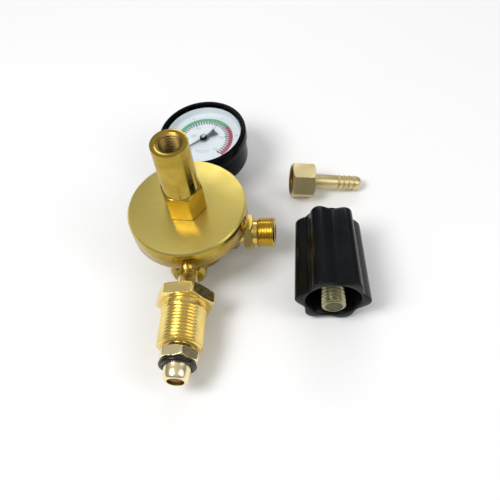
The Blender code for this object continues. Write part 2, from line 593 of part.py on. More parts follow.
def gauge_movement():
    """Two plates on pillars carry the pinion and the toothed sector, which the link turns."""
    back, front = PLATE_HEIGHTS
    outline = [(-9.5, -9.2), (-3.5, -10.0), (-3.5, -14.5), (3.5, -14.5), (3.5, -10.0), (9.5, -9.2), (9.5, 6.5),
               (-9.5, 6.5)]
    pivots = ((0, 0, 0.8), (*SECTOR_PIVOT, 0.8))
    frame = flat_outline("movement_frame", BRASS, outline, *back, pivots, parent=DIAL)
    pillars = [("right", DIAL_SCREWS[0]), ("left", DIAL_SCREWS[1]), ("lower", (6.5, -7.5))]
    for name, (x, y) in pillars:
        where = dict(parent=DIAL, place=(x, y, 0))
        join(frame, rod(f"pillar_{name}", None, 1.3, back[1] - 0.4, front[0] - GAP, SMALL, **where))
    front_outline = [(-9.5, -9.6), (9.5, -9.6), (9.5, 6.5), (-9.5, 6.5)]
    screws = tuple((x, y, 0.9) for x, y in DIAL_SCREWS)
    flat_outline("movement_front_plate", BRASS, front_outline, *front, pivots + screws, parent=DIAL)
    for side, (x, y) in zip(("right", "left"), DIAL_SCREWS):
        head = [(0, DIAL_TOP + 0.9), (1.3, DIAL_TOP + 0.9), (1.3, DIAL_TOP + GAP), (0.6, DIAL_TOP + GAP),
                (0.6, front[0]), (0, front[0])]
        turned(f"dial_screw_{side}", STEEL, head, SMALL, parent=DIAL, place=(x, y, 0))

    pinion = rod("pinion", BRASS, 0.5, back[0] - 0.5, POINTER_TOP, SMALL, parent=DIAL)
    teeth = tooth_outline(PINION_PITCH_RADIUS, PINION_TEETH, 0, 360)
    join(pinion, flat_outline("pinion_teeth", None, teeth, 0.2, 2.2, parent=DIAL))
    where = dict(parent=DIAL, place=(*SECTOR_PIVOT, 0))
    sector = flat_outline("sector_gear", BRASS, sector_outline(), 0.6, 1.8, **where)
    join(sector, rod("sector_arbor", None, 0.5, back[0] - 0.5, front[1] + 0.4, SMALL, **where))

    tail_end = polar(TAIL_LENGTH, TAIL_REST)
    pin = (SECTOR_PIVOT[0] + tail_end[0], SECTOR_PIVOT[1] + tail_end[1])
    tip = polar(BOURDON_RADIUS - 2.6, 204)
    link_end = (tip[0] - pin[0], tip[1] - pin[1])
    flat_outline("link", STEEL, capsule((0, 0), link_end, 0.6), 2.1, 2.8, parent=DIAL, place=(*pin, 0))

    arc_points = [(x, y, 0.0) for x, y in arc(BOURDON_RADIUS, -73, 205, 30)]
    bent_wire("bourdon_tube", BRONZE, arc_points, 1.2, DIAL, flatten=2.4)
    turns, per_turn = 3.5, 12
    count = int(turns * per_turn)
    spiral = [(*polar(1.1 + 3.4 * i / count, 360.0 * i / per_turn), 3.4) for i in range(count + 1)]
    bent_wire("hairspring", BRONZE, spiral, 0.12, DIAL, resolution=0)


def gauge_pointer():
    """The needle with its flared tail, the boss on top of it and the pin it rests against."""
    hub = [point for point in arc(2.3, -150, -25, 5)] + [(16.2, -0.25), (16.2, 0.25)] + arc(2.3, 25, 150, 5)
    tail = [(-5.0, 1.4), (-8.4, 2.6), (-7.9, 0.0), (-8.4, -2.6), (-5.0, -1.4)]
    flat_outline("pointer", BLACK, hub + tail, POINTER_BOTTOM, POINTER_TOP, ((0, 0, 0.8),), parent=DIAL,
                 turn=(0, 0, POINTER_REST))
    boss = [(0, BOSS_TOP), (1.5, BOSS_TOP - 0.1), (2.1, BOSS_TOP - 0.6), (2.1, BOSS_BOTTOM), (0, BOSS_BOTTOM)]
    turned("pointer_boss", STEEL, boss, SMALL, parent=DIAL)
    pin_place = (*polar(12.0, POINTER_REST + 5), 0)
    rod("stop_pin", STEEL, 0.35, DIAL_TOP + GAP, POINTER_TOP + 0.4, SMALL, parent=DIAL, place=pin_place)


def adjusting_knob():
    """The lobed plastic knob, hollow to pass over the spring tube, with its threaded stud inside."""
    half = KNOB_LENGTH / 2
    sections = []
    for inset, depth in ((1.9, 0.0), (0.6, 0.5), (0.0, 1.9)):
        sections.append((KNOB_FAR_RADIUS - inset, depth - half))
    for inset, depth in ((0.0, 1.0), (0.2, 0.3), (0.6, 0.0)):
        sections.append((KNOB_RADIUS - inset, half - depth))
    outlines = [
        (lobed_outline(radius, KNOB_GROOVE, KNOB_LOBES, KNOB_POINTS, KNOB_TURN), height)
        for radius, height in sections
    ]
    knob = lofted("adjusting_knob", BLACK, outlines, KNOB)
    floor = half - KNOB_RECESS
    mouth = KNOB_MOUTH_RADIUS
    recess = [(0, half + 1), (mouth, half + 1), (mouth, half), (mouth - 0.6, half - 1), (12.8, floor),
              (6.6, floor), (6.6, floor - 8), (0, floor - 8)]
    cut(knob, turned("knob_recess", None, recess, MEDIUM, parent=KNOB))
    end = half + STUD_STANDOUT
    bottom = floor - 7.7
    stud = [(0, end), (STUD_RADIUS - 1.2, end), (STUD_RADIUS, end - 1.2), (STUD_RADIUS, bottom), (0, bottom)]
    turned("knob_stud", STEEL, stud, parent=KNOB)


def hose_connector():
    """The union nut and the barbed hose nipple that it holds, loose beside the outlet."""
    corner = NUT_FLATS / math.sqrt(3)
    wall = NUT_LENGTH - 3.0
    profile = [
        (4.6, NUT_LENGTH), (corner - 1.6, NUT_LENGTH), (corner, NUT_LENGTH - 1.1), (corner, 1.1),
        (corner - 1.6, 0), (8.4, 0), (7.6, 0.9), (7.6, wall), (4.6, wall),
    ]
    nut = turned("union_nut", BRASS, profile, LARGE, ring=True, parent=NUT)
    cut_hexagon(nut, NUT_FLATS, -0.2, NUT_LENGTH + 0.2, turn=30)
    shoulder = wall - GAP
    end = NIPPLE_END
    plain = 27.0
    profile = [(2.3, end), (3.2, end), (3.9, end - 1.6)]
    pitch = (end - 1.6 - plain) / 4
    for i in range(4):
        start = end - 1.6 - i * pitch
        profile += [(4.2, start - pitch * 0.8), (3.7, start - pitch)]
    profile += [(4.1, plain - 0.4), (4.1, shoulder), (7.2, shoulder), (7.2, shoulder - 2.4), (5.0, shoulder - 4.6),
                (2.3, shoulder - 4.6)]
    turned("hose_nipple", BRASS, profile, ring=True, parent=NUT)


regulator_body()
bonnet_cap()
spring_tube()
diaphragm_parts()
adjusting_spring_parts()
valve_parts()
rear_plug()
inlet_parts()
outlet_fitting()
gauge_housing()
gauge_movement()
gauge_pointer()
adjusting_knob()
hose_connector()
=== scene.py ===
"""A brass gas regulator with its gauge, and the loose knob and hose connector beside it."""

import math

import bmesh
import bpy
from mathutils import Matrix, Vector


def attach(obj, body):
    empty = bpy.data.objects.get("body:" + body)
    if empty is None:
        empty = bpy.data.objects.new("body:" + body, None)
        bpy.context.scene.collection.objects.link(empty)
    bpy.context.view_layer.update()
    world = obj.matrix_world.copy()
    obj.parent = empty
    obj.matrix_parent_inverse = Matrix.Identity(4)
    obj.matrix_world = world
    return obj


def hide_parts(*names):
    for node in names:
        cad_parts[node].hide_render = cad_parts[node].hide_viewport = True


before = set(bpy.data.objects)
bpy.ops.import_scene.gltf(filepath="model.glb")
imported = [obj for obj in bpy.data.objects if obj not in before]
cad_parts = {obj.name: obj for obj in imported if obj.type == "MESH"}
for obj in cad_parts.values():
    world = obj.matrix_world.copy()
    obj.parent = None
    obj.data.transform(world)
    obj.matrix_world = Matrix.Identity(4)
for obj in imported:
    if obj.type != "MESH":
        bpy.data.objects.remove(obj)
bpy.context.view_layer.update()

MM = 0.001
DEGREE = math.pi / 180
# Sides of the round pieces. Both divide by 12, so a hexagon's corners fall on vertices.
FINE, COARSE = 144, 72

# The CAD's driving dimensions, in millimetres.
DISC_TOP = 42.0
DISC_RADIUS = 30.9
DISC_BOTTOM = 29.5
TUBE_RADIUS = 9.1
TUBE_TOP = 88.8
TUBE_HEX_TOP = 58.2
PORT_HEIGHT = 17.4
GAUGE_REACH = 58.4
GAUGE_RADIUS = 25.1
CASE_RADIUS = 23.8
CASE_BACK = -5.6
CASE_FRONT = 14.5
BEZEL_TOP = 17.4
BEZEL_BOTTOM = 10.6
WINDOW_TOP = 16.4
DIAL_TOP = 10.7
KNOB_RADIUS, KNOB_FAR_RADIUS, KNOB_LENGTH, KNOB_GROOVE = 19.4, 17.2, 48.0, 3.7
KNOB_TURN = -10.0
KNOB_RECESS = 24.0
NUT_FLATS, NUT_LENGTH, NUT_PITCH = 18.0, 13.2, 10.7
TUBE_HEX_FLATS = 19.0
INLET_NUT_FLATS = 27.0
NIPPLE_FLATS = 18.0
OUTLET_FLATS = 17.2
STUD_STANDOUT = 3.4
INLET_CREST, OUTLET_CREST = 11.455, 8.33
INLET_PITCH, OUTLET_PITCH, STUD_PITCH = 25.4 / 14, 25.4 / 19, 1.75
POINTER_REST = -142.0


def turn_matrix(place, angles=(0, 0, 0)):
    """A frame at a place in millimetres, turned by XYZ angles in degrees."""
    turn = Matrix.Identity(4)
    for axis, angle in zip("XYZ", angles):
        turn = Matrix.Rotation(angle * DEGREE, 4, axis) @ turn
    return Matrix.Translation(Vector(place) * MM) @ turn


UPRIGHT = turn_matrix((0, 0, 0))
INLET = turn_matrix((0, 0, PORT_HEIGHT), (90, 0, 0))
OUTLET = turn_matrix((0, 0, PORT_HEIGHT), (0, 90, 0))
GAUGE = turn_matrix((0, 0, PORT_HEIGHT), (0, -1.8, -2.0))
DIAL = GAUGE @ turn_matrix((0, GAUGE_REACH, 0))
NUT_HEIGHT = NUT_FLATS / 2 * math.cos(NUT_PITCH * DEGREE) + NUT_LENGTH * math.sin(NUT_PITCH * DEGREE)
NUT = turn_matrix((51.7, 41.1, NUT_HEIGHT), (0, 90 + NUT_PITCH, 4.4))


def lobed(radius, groove, angle):
    """The knob's section: six lobes, the first one turned a little from +X."""
    return radius - groove * (1 - math.cos(6 * (angle - KNOB_TURN * DEGREE))) / 2


KNOB_HEIGHT = max(lobed(KNOB_RADIUS, KNOB_GROOVE, i * DEGREE) * math.sin(i * DEGREE) for i in range(180))
KNOB = turn_matrix((73.5, -18.8, KNOB_HEIGHT), (90, 0, 3.1))


# ---------------------------------------------------------------- materials


def new_material(name):
    """A node material with its Principled shader."""
    material = bpy.data.materials.new(name)
    material.use_nodes = True
    nodes = material.node_tree.nodes
    return material, nodes, material.node_tree.links, nodes["Principled BSDF"]


def noise(nodes, links, vector, scale, detail=3.0, roughness=0.55):
    node = nodes.new("ShaderNodeTexNoise")
    node.inputs["Scale"].default_value = scale
    node.inputs["Detail"].default_value = detail
    node.inputs["Roughness"].default_value = roughness
    links.new(vector, node.inputs["Vector"])
    return node.outputs["Fac"]


def ramp(nodes, links, factor, low, high, first, last):
    """A colour ramp from one grey or colour to another."""
    node = nodes.new("ShaderNodeValToRGB")
    for element, place, value in zip(node.color_ramp.elements, (low, high), (first, last)):
        element.position = place
        element.color = (*value, 1) if isinstance(value, tuple) else (value, value, value, 1)
    links.new(factor, node.inputs["Fac"])
    return node.outputs["Color"]


def math_node(nodes, links, operation, first, second=None):
    node = nodes.new("ShaderNodeMath")
    node.operation = operation
    for socket, value in zip(node.inputs, (first, second)):
        if value is None:
            continue
        if isinstance(value, (int, float)):
            socket.default_value = value
        else:
            links.new(value, socket)
    return node.outputs[0]


def bump(nodes, links, shader, height, strength, distance, before=None):
    node = nodes.new("ShaderNodeBump")
    node.inputs["Strength"].default_value = strength
    node.inputs["Distance"].default_value = distance
    links.new(height, node.inputs["Height"])
    if before is not None:
        links.new(before, node.inputs["Normal"])
    links.new(node.outputs["Normal"], shader.inputs["Normal"])
    return node.outputs["Normal"]


def lathe_coordinates(nodes, links):
    """Object coordinates as (radius, height, 0), so that a texture runs in rings about the piece's axis."""
    place = nodes.new("ShaderNodeTexCoord").outputs["Object"]
    parts = nodes.new("ShaderNodeSeparateXYZ")
    links.new(place, parts.inputs[0])
    square = [math_node(nodes, links, "MULTIPLY", parts.outputs[i], parts.outputs[i]) for i in (0, 1)]
    radius = math_node(nodes, links, "SQRT", math_node(nodes, links, "ADD", *square))
    rings = nodes.new("ShaderNodeCombineXYZ")
    links.new(radius, rings.inputs[0])
    links.new(parts.outputs[2], rings.inputs[1])
    return place, rings.outputs[0]


def metal(name, pale, dark, roughness, rings=0.05, grain=0.03, spread=0.1, tint=None):
    """A machined metal: cloudy tarnish, tool marks in rings, a fine grain, and roughness that varies."""
    material, nodes, links, shader = new_material(name)
    place, ring_place = lathe_coordinates(nodes, links)
    cloud = noise(nodes, links, place, 90, 5, 0.6)
    marks = noise(nodes, links, ring_place, 2600, 2, 0.7)
    speck = noise(nodes, links, place, 2400, 2)
    colour = ramp(nodes, links, cloud, 0.3, 0.72, dark, pale)
    if tint:
        blend = nodes.new("ShaderNodeMix")
        blend.data_type = "RGBA"
        patches = ramp(nodes, links, noise(nodes, links, place, 35, 3), 0.52, 0.75, 0.0, 0.6)
        links.new(patches, blend.inputs["Factor"])
        links.new(colour, blend.inputs["A"])
        blend.inputs["B"].default_value = (*tint, 1)
        colour = blend.outputs["Result"]
    links.new(colour, shader.inputs["Base Color"])
    links.new(ramp(nodes, links, cloud, 0.25, 0.75, roughness + spread, roughness - spread / 2),
              shader.inputs["Roughness"])
    shader.inputs["Metallic"].default_value = 1.0
    first = bump(nodes, links, shader, marks, rings, 0.00006)
    bump(nodes, links, shader, speck, grain, 0.00002, first)
    return material


def plastic(name, colour, lighter, roughness, grain=0.04, scale=900, specular=0.5):
    """A moulded plastic or rubber: a faint mottle, a moulded grain and finger-worn gloss."""
    material, nodes, links, shader = new_material(name)
    place = nodes.new("ShaderNodeTexCoord").outputs["Object"]
    cloud = noise(nodes, links, place, 60, 4)
    links.new(ramp(nodes, links, cloud, 0.3, 0.75, colour, lighter), shader.inputs["Base Color"])
    wear = noise(nodes, links, place, 240, 4)
    links.new(ramp(nodes, links, wear, 0.3, 0.8, roughness, roughness + 0.14), shader.inputs["Roughness"])
    shader.inputs["Specular IOR Level"].default_value = specular
    bump(nodes, links, shader, noise(nodes, links, place, scale, 2), grain, 0.00005)
    return material


def window_material():
    material, nodes, links, shader = new_material("window_clear")
    place = nodes.new("ShaderNodeTexCoord").outputs["Object"]
    smear = noise(nodes, links, place, 120, 4)
    links.new(ramp(nodes, links, smear, 0.3, 0.8, 0.0, 0.03), shader.inputs["Roughness"])
    shader.inputs["Base Color"].default_value = (0.93, 0.98, 0.98, 1)
    shader.inputs["IOR"].default_value = 1.2
    shader.inputs["Transmission Weight"].default_value = 1.0
    shader.inputs["Alpha"].default_value = 0.07
    return material


BRASS = metal("brass_satin", (0.82, 0.64, 0.20), (0.62, 0.46, 0.115), 0.2, tint=(0.52, 0.39, 0.11))
# Painted shade: a much darker copy of brass for the spring tube, the body and the disc's side wall.
BRASS_SHADED = metal("brass_painted_shade", (0.52, 0.37, 0.065), (0.34, 0.225, 0.03), 0.17, tint=(0.30, 0.19, 0.03))
BRASS_NUT = metal("brass_nut", (0.95, 0.77, 0.30), (0.80, 0.61, 0.19), 0.25, rings=0.06)
BRASS_BRIGHT = metal("brass_bright", (0.97, 0.87, 0.56), (0.86, 0.72, 0.38), 0.22, rings=0.08)
BRASS_FACE = metal("brass_face", (0.76, 0.62, 0.18), (0.66, 0.52, 0.135), 0.33, rings=0.04, grain=0.07)
BRASS_PALE = metal("brass_pale", (0.74, 0.64, 0.36), (0.58, 0.48, 0.24), 0.42)
# Painted shade: a darker copy of brass for the faces inside bores.
BRASS_BORE_SHADE = metal("brass_bore_painted_shade", (0.34, 0.23, 0.07), (0.17, 0.105, 0.03), 0.42, rings=0.0, grain=0.3)
STEEL = metal("steel_plated", (0.66, 0.66, 0.62), (0.46, 0.46, 0.42), 0.3)
# Painted shade: a near-black steel for the spring button, so that the tube's bore looks dark.
STEEL_SHADE = metal("steel_painted_shade", (0.09, 0.07, 0.055), (0.04, 0.03, 0.025), 0.45)
# Zinc-plated steel, darkened all over as painted shade from the knob's recess.
STUD = metal("stud_zinc_painted_shade", (0.42, 0.40, 0.24), (0.26, 0.245, 0.135), 0.24)
STUD_END = metal("stud_end", (0.16, 0.15, 0.075), (0.09, 0.08, 0.04), 0.45)
BRONZE = metal("bronze_sintered", (0.46, 0.27, 0.11), (0.24, 0.12, 0.05), 0.6,
               rings=0.0, grain=0.6, spread=0.2)
BLACK = plastic("black_enamel", (0.0015, 0.002, 0.003), (0.003, 0.0035, 0.005), 0.14, 0.02, specular=0.05)
KNOB_BLACK = plastic("black_phenolic", (0.003, 0.0035, 0.004), (0.006, 0.007, 0.008), 0.16,
                     0.03, 700, specular=0.14)
RUBBER = plastic("rubber_black", (0.004, 0.004, 0.004), (0.010, 0.010, 0.010), 0.22, 0.08, specular=0.4)
ENAMEL = plastic("dial_enamel", (0.70, 0.76, 0.80), (0.76, 0.82, 0.86), 0.4, 0.02)
GREEN_INK = plastic("ink_green", (0.07, 0.33, 0.15), (0.10, 0.40, 0.20), 0.5)
RED_INK = plastic("ink_red", (0.33, 0.055, 0.10), (0.42, 0.09, 0.15), 0.5)
BLACK_INK = plastic("ink_black", (0.012, 0.018, 0.02), (0.03, 0.035, 0.04), 0.5)
GREY_INK = plastic("ink_grey", (0.30, 0.36, 0.40), (0.38, 0.44, 0.48), 0.5)
POINTER = plastic("pointer_grey", (0.045, 0.055, 0.06), (0.09, 0.10, 0.11), 0.35)
NYLON = plastic("nylon_pad", (0.62, 0.6, 0.52), (0.7, 0.68, 0.6), 0.5)
FIBRE = plastic("fibre_washer", (0.28, 0.06, 0.04), (0.36, 0.09, 0.06), 0.7, 0.3)
WINDOW = window_material()


# ---------------------------------------------------------------- mesh helpers


def finish_piece(name, vertices, faces, material, where, body, stands_for=(), sharp=38.0, bore=0.0):
    """A mesh object from points in millimetres, welded, facing out, riding on a body.

    Faces nearer to the axis than the bore's radius get a darker brass, painted shade inside the bore.
    """
    mesh = bpy.data.meshes.new(name)
    mesh.from_pydata([Vector(v) * MM for v in vertices], [], faces)
    shape = bmesh.new()
    shape.from_mesh(mesh)
    bmesh.ops.remove_doubles(shape, verts=shape.verts, dist=2e-6)
    bmesh.ops.dissolve_degenerate(shape, edges=shape.edges, dist=1e-6)
    bmesh.ops.recalc_face_normals(shape, faces=shape.faces)
    shape.to_mesh(mesh)
    shape.free()
    mesh.polygons.foreach_set("use_smooth", [True] * len(mesh.polygons))
    mesh.set_sharp_from_angle(angle=sharp * DEGREE)
    mesh.materials.append(material)
    piece = bpy.data.objects.new(name, mesh)
    bpy.context.scene.collection.objects.link(piece)
    piece.matrix_world = where
    bpy.context.view_layer.update()
    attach(piece, body)
    if stands_for:
        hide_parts(*stands_for)
    # Painted shade: the faces inside the bore get the darker brass.
    if bore:
        second_material(piece, BRASS_BORE_SHADE, 0.0, bore)
    return piece


def second_material(piece, material, inner, outer, above=-1000.0):
    """Another material on the faces between two radii from the piece's axis, above a height."""
    piece.data.materials.append(material)
    for face in piece.data.polygons:
        if inner <= face.center.xy.length / MM < outer and face.center.z / MM > above:
            face.material_index = 1


def hexagon(flats, turn, angle):
    """Distance from the axis to a hexagon's side in that direction."""
    across = (angle - turn * DEGREE) % (math.pi / 3) - math.pi / 6
    return flats / 2 / math.cos(across)


def thread_rings(start, end, pitch, crest, root, sides, per_pitch=6, fade=1.0):
    """Rings that climb one pitch a turn between two heights, with a ridge that fades at both ends."""
    rings = []
    step = pitch / per_pitch
    count = math.ceil((abs(end - start) + pitch) / step)
    way = 1 if end > start else -1
    for k in range(count + 1):
        ring = []
        for i in range(sides):
            height = k * step - pitch + pitch * i / sides
            height = min(max(height, 0), abs(end - start))
            phase = (height / pitch - i / sides) % 1.0
            ridge = 1 - abs(2 * phase - 1) * 1.25
            ridge = min(max(ridge, 0.0), 0.85) / 0.85
            near = min(height, abs(end - start) - height) / (fade * pitch)
            depth = min(near, 1.0) * (1 - ridge)
            ring.append((crest + (root - crest) * depth, start + way * height))
        rings.append(ring)
    return rings, per_pitch


def revolve(name, rows, material, where, body, stands_for=(), sides=FINE, hexes=(), loop=False,
            sharp=38.0, bore=0.0):
    """A turned piece. Each row is (radius, height), or the result of thread_rings.

    A hexagon limits the radius between its two heights. Where the profile starts or ends off the axis and
    isn't a loop, a flat cap closes it.
    """
    angles = [2 * math.pi * i / sides for i in range(sides)]
    vertices, faces = [], []
    grid = []  # the first vertex of each ring
    rings = []  # (points, rings that a turn climbs, last ring of that thread)
    for row in rows:
        if isinstance(row[0], list):
            thread, climb = row
            first = len(rings)
            rings += [(ring, climb, first + len(thread) - 1) for ring in thread]
        else:
            rings.append(([row] * sides, 0, len(rings)))
    for ring, _, _ in rings:
        grid.append(len(vertices))
        for (radius, height), angle in zip(ring, angles):
            for flats, low, high, turn in hexes:
                if low <= height <= high:
                    radius = min(radius, hexagon(flats, turn, angle))
            vertices.append((radius * math.cos(angle), radius * math.sin(angle), height))
    pairs = [(k, k + 1) for k in range(len(rings) - 1)] + ([(len(rings) - 1, 0)] if loop else [])
    for k, after in pairs:
        for i in range(sides):
            low, high = k, after
            if i == sides - 1:
                low = min(k + rings[k][1], rings[k][2]) if rings[k][1] else k
                high = min(after + rings[after][1], rings[after][2]) if rings[after][1] else after
            nxt = (i + 1) % sides
            faces.append((grid[k] + i, grid[low] + nxt, grid[high] + nxt, grid[after] + i))
    if not loop:
        for k in (0, len(rings) - 1):
            if rings[k][0][0][0] > 0:
                faces.append([grid[k] + i for i in range(sides)])
    return finish_piece(name, vertices, faces, material, where, body, stands_for, sharp, bore)


def chamfer(inner, outer, low, high, steps=6):
    """A cone in small steps, so that it cuts curved edges on a hexagon."""
    return [
        (inner + (outer - inner) * i / steps, low + (high - low) * i / steps) for i in range(steps + 1)
    ]


def soften(node, angle=32.0):
    """Smooth shading on a CAD node, with its real edges kept sharp, by modifiers alone."""
    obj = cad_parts[node]
    obj.data.polygons.foreach_set("use_smooth", [True] * len(obj.data.polygons))
    weld = obj.modifiers.new("weld", "WELD")
    weld.merge_threshold = 1e-6
    split = obj.modifiers.new("edges", "EDGE_SPLIT")
    split.split_angle = angle * DEGREE


def dress(material, *nodes):
    """Gives CAD nodes a finished material."""
    for node in nodes:
        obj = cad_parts[node]
        obj.data.materials.clear()
        obj.data.materials.append(material)
        soften(node)


# ---------------------------------------------------------------- the regulator


def regulator():
    """The disc, the spring tube with its hexagon and inner thread, and what shows of the body."""
    shelf = 36.0
    rim = 1.0
    rows = [(8.4, DISC_TOP), (12.0, DISC_TOP), (DISC_RADIUS - rim - 0.15, DISC_TOP),
            (DISC_RADIUS - rim + 0.05, DISC_TOP - 0.05), (DISC_RADIUS - 0.08, DISC_TOP - rim),
            (DISC_RADIUS, DISC_TOP - rim - 0.2), (DISC_RADIUS, DISC_BOTTOM + 0.7),
            (DISC_RADIUS - 0.1, DISC_BOTTOM + 0.5), (DISC_RADIUS - 0.6, DISC_BOTTOM), (26.9, DISC_BOTTOM),
            (26.9, shelf), (19.6, shelf), (19.6, DISC_TOP - 3.7), (8.4, DISC_TOP - 3.7)]
    disc = revolve("disc_cap", rows, BRASS_FACE, UPRIGHT, "housing", ("bonnet_cap",), loop=True,
                   sharp=30)
    # Painted shade: the disc's side wall gets the darker brass, darker than its top face.
    second_material(disc, BRASS_SHADED, DISC_RADIUS - 0.12, DISC_RADIUS + 1)

    hex_bottom = DISC_TOP + 0.3
    corner = TUBE_HEX_FLATS / math.sqrt(3)
    top = TUBE_TOP
    rows = [(6.35, top - 0.1), (6.5, top), (TUBE_RADIUS - 0.45, top), (TUBE_RADIUS - 0.12, top - 0.12),
            (TUBE_RADIUS, top - 0.45), (TUBE_RADIUS, TUBE_HEX_TOP + 0.25),
            (TUBE_RADIUS + 0.1, TUBE_HEX_TOP + 0.02)]
    rows += chamfer(9.5, corner, TUBE_HEX_TOP, TUBE_HEX_TOP - 1.0)
    rows += [(corner, hex_bottom), (8.1, hex_bottom), (8.1, DISC_TOP - 3.6), (6.9, DISC_TOP - 3.6),
             (6.9, 71.0), (5.25, 72.6)]
    rows += [thread_rings(72.7, top - 0.9, STUD_PITCH, 5.25, 6.15, FINE, fade=0.5), (5.4, top - 0.85)]
    # The tube wears the darker brass, painted shade.
    revolve("tube_with_hexagon", rows, BRASS_SHADED, UPRIGHT, "housing", ("spring_tube",), loop=True,
            hexes=((TUBE_HEX_FLATS, hex_bottom - 0.1, TUBE_HEX_TOP + 0.01, -5),), sharp=34, bore=6.3)
    # The body wears the darker brass, painted shade.
    dress(BRASS_SHADED, "regulator_body")
    # Painted shade: the spring button at the bottom of the tube's bore is dressed near black.
    dress(STEEL_SHADE, "spring_button")
    dress(BRASS, "clamp_ring", "diaphragm_plate", "diaphragm_button", "valve_seat", "valve_holder",
          "rear_plug", "gauge_stem", "movement_frame", "movement_front_plate", "pinion", "sector_gear")
    dress(STEEL, "adjusting_spring", "valve_pin", "valve_spring", "link", "stop_pin")
    dress(ENAMEL, "dial_screw_left", "dial_screw_right")
    dress(BRONZE, "inlet_filter", "bourdon_tube", "hairspring")
    dress(RUBBER, "diaphragm")
    dress(NYLON, "valve_pad")
    dress(FIBRE, "plug_washer")


def inlet():
    """The bull-nose nipple with its seal ring, and the long nut with the 5/8 inch thread."""
    crest, pitch = INLET_CREST, INLET_PITCH
    start, head_end, end = 38.3, 45.3, 69.2
    corner = INLET_NUT_FLATS / math.sqrt(3)
    rows = [(5.5, end - 1.5), (8.0, end), (crest - 1.5, end), (crest - 1.1, end - 0.15),
            (crest - 0.55, end - 0.8)]
    rows.append(thread_rings(end - 0.9, head_end + 3.4, pitch, crest, crest - 1.05, FINE, fade=0.35))
    rows += [(crest - 0.3, head_end + 3.2), (crest - 0.85, head_end + 2.6), (crest - 0.85, head_end + 0.35),
             (crest - 0.4, head_end), (12.9, head_end)]
    rows += chamfer(13.0, corner, head_end, head_end - 0.9)
    rows += chamfer(corner, 13.0, start + 1.0, start)
    rows += [(12.9, start), (5.5, start)]
    revolve("bull_nose_nut", rows, BRASS_NUT, INLET, "inlet_nut", ("inlet_nut",), loop=True,
            hexes=((INLET_NUT_FLATS, start, head_end, 6),), sharp=34, bore=5.6)

    hex_start, hex_end, nose = 70.9, 76.4, 86.3
    corner = NIPPLE_FLATS / math.sqrt(3)
    rows = [(4.3, nose), (4.9, nose), (5.3, nose - 0.15), (5.95, nose - 1.0), (6.35, nose - 2.4),
            (6.65, nose - 3.9), (6.7, nose - 4.4), (6.7, hex_end + 0.3), (6.9, hex_end)]
    rows += chamfer(9.0, corner, hex_end, hex_end - 0.9)
    rows += chamfer(corner, 9.0, hex_start + 0.9, hex_start)
    rows += [(5.2, hex_start), (5.2, 16.3), (2.2, 16.3), (2.2, nose - 5.5), (4.3, nose - 5.5)]
    revolve("bull_nose_nipple", rows, BRASS_BRIGHT, INLET, "housing", ("inlet_nipple",), loop=True,
            hexes=((NIPPLE_FLATS, hex_start, hex_end, 11),), sharp=34, bore=4.35)

    ring_radius, wire = 8.25, 1.2
    middle = hex_end + 0.3 + wire
    section = [
        (ring_radius + wire * math.cos(i * 22.5 * DEGREE), middle + wire * math.sin(i * 22.5 * DEGREE))
        for i in range(16)
    ]
    revolve("seal_ring", section, RUBBER, INLET, "housing", ("inlet_seal_ring",), loop=True,
            sharp=60)


def outlet():
    """The outlet union with its hexagon and 3/8 inch thread."""
    crest, pitch = OUTLET_CREST, OUTLET_PITCH
    start, hex_end, end = 28.3, 32.6, 44.4
    corner = OUTLET_FLATS / math.sqrt(3)
    rows = [(4.6, end), (crest - 1.15, end), (crest - 0.95, end - 0.12), (crest - 0.4, end - 0.75)]
    rows.append(thread_rings(end - 0.8, 35.7, pitch, crest, crest - 0.85, FINE, fade=0.35))
    rows += [(crest - 0.4, 35.5), (6.9, 34.9), (6.9, hex_end + 0.2), (7.2, hex_end)]
    rows += chamfer(8.6, corner, hex_end, hex_end - 0.7)
    rows += chamfer(corner, 8.6, start + 0.7, start)
    rows += [(6.1, start), (6.1, 16.3), (2.6, 16.3), (2.6, end - 4.0)]
    revolve("outlet_union", rows, BRASS, OUTLET, "housing", ("outlet_fitting",), loop=True,
            hexes=((OUTLET_FLATS, start, hex_end, -35),), sharp=34, bore=4.65)


# ---------------------------------------------------------------- the gauge


def gauge_housing():
    """The black case with its rolled bezel and the clear window."""
    inner = CASE_RADIUS - 1.2
    back = CASE_BACK
    rows = [(0, back + 1.4), (inner, back + 1.4), (inner, CASE_FRONT), (CASE_RADIUS, CASE_FRONT),
            (CASE_RADIUS, back + 3.2), (CASE_RADIUS - 0.25, back + 2.1), (CASE_RADIUS - 0.95, back + 1.05),
            (CASE_RADIUS - 2.0, back + 0.3), (CASE_RADIUS - 3.2, back), (0, back)]
    revolve("case_shell", rows, BLACK, DIAL, "housing", ("gauge_case",), sharp=40)
    lip = 22.3
    top = BEZEL_TOP
    rows = [(lip, top - 0.5), (lip + 0.15, top - 0.12), (lip + 0.55, top), (GAUGE_RADIUS - 1.6, top),
            (GAUGE_RADIUS - 0.75, top - 0.15), (GAUGE_RADIUS - 0.2, top - 0.6), (GAUGE_RADIUS, top - 1.4),
            (GAUGE_RADIUS, BEZEL_BOTTOM + 0.5), (GAUGE_RADIUS - 0.15, BEZEL_BOTTOM + 0.12),
            (GAUGE_RADIUS - 0.5, BEZEL_BOTTOM), (CASE_RADIUS + 0.3, BEZEL_BOTTOM),
            (CASE_RADIUS + 0.3, WINDOW_TOP + 0.3), (lip, WINDOW_TOP + 0.3)]
    revolve("bezel_ring", rows, BLACK, DIAL, "housing", ("gauge_bezel",), loop=True,
            sharp=40)
    rows = [(0, WINDOW_TOP), (CASE_RADIUS - 0.5, WINDOW_TOP), (CASE_RADIUS - 0.3, WINDOW_TOP - 0.2),
            (CASE_RADIUS - 0.3, 15.0), (0, 15.0)]
    revolve("window_pane", rows, WINDOW, DIAL, "housing", ("gauge_window",), sides=COARSE)


PRINT_HEIGHT = DIAL_TOP + 0.04


